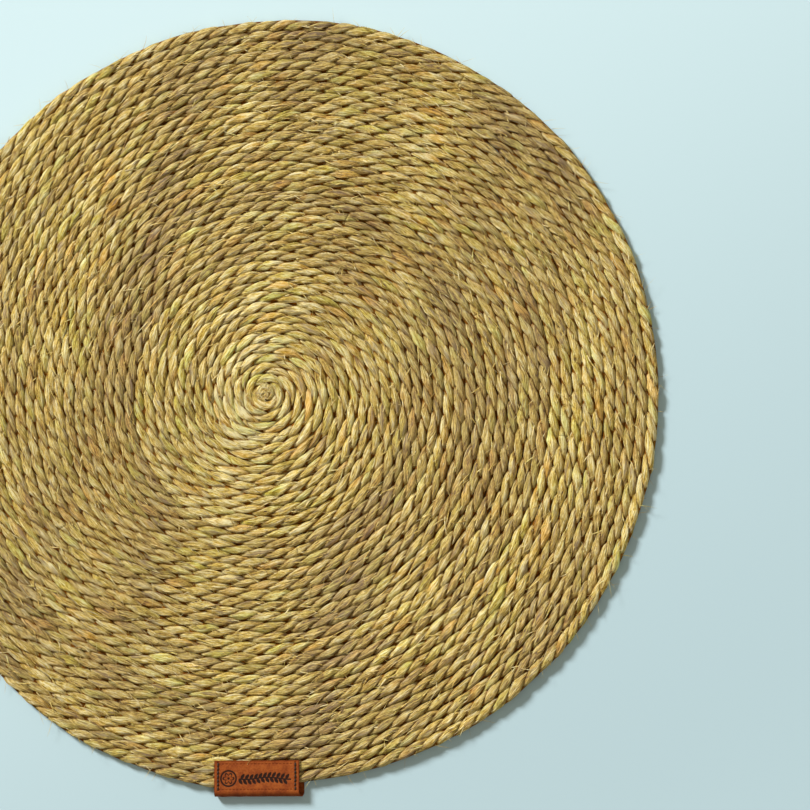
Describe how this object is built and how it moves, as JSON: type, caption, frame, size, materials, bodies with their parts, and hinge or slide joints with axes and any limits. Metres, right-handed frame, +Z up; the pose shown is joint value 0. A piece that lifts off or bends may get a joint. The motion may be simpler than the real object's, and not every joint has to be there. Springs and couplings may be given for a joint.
{
  "type": "round rope seat pad",
  "caption": "Round flat seat pad of natural grass rope coiled into a spiral disc, laced through its turns, with a leather label folded over the rim.",
  "frame": {"origin": "middle of the pad's box on its underside, which rests on the seat", "axes": "+Z up out of the pad's face, -Y towards the leather label on the rim, +X to the right of the label as it is read"},
  "size_m": [0.375, 0.3808, 0.0054],
  "materials": {
    "rope": "two-ply twisted natural grass rope, straw yellow with darker and greener patches",
    "lacing_thread": "undyed twisted thread",
    "label_leather": "smooth waxed tan leather with a burnt motif",
    "sewing_thread": "dark brown waxed thread"
  },
  "bodies": {
    "root": {"rope_coil": "rope", "lacing_1": "lacing_thread", "lacing_2": "lacing_thread", "lacing_3": "lacing_thread", "lacing_4": "lacing_thread", "lacing_5": "lacing_thread", "lacing_6": "lacing_thread", "lacing_7": "lacing_thread", "lacing_8": "lacing_thread", "leather_label": "label_leather", "label_stitching_left": "sewing_thread", "label_stitching_right": "sewing_thread"}
  },
  "joints": []
}
